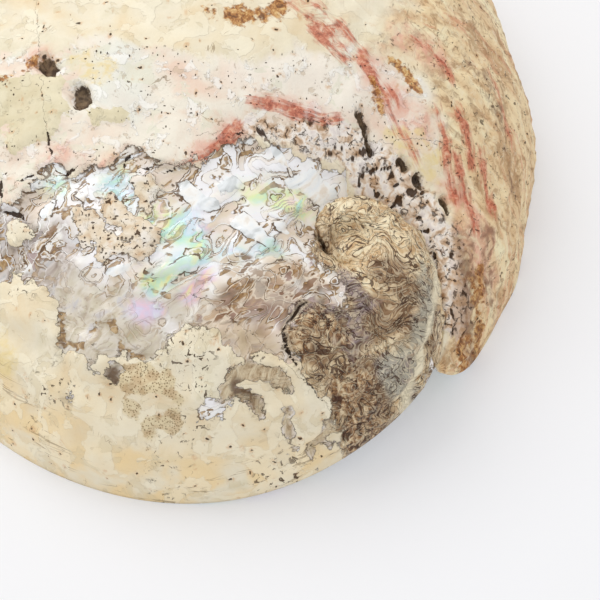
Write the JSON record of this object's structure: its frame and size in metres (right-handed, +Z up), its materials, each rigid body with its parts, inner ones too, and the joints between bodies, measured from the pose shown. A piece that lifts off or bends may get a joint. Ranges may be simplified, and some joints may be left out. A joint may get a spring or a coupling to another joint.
{
  "type": "abalone shell",
  "caption": "Large weathered abalone shell, mouth down: a low, wide, ear-shaped bowl with a small side spire, a row of breathing holes, a worn pearly crest and a chalky crust.",
  "frame": {"origin": "centre of the bounding box in plan, on the ground that the rim rests on", "axes": "+Y to the front of the shell, away from the spire; +X to the right, the side of the outer lip; +Z up, out of the shell's back"},
  "size_m": [0.1425, 0.1893, 0.0577],
  "materials": {
    "weathered_shell": "chalky cream crust with red growth streaks and boring holes, worn through to glossy pearly layers on the crest and the spire; smooth mother of pearl inside"
  },
  "bodies": {
    "root": {"shell": "weathered_shell"}
  },
  "joints": []
}
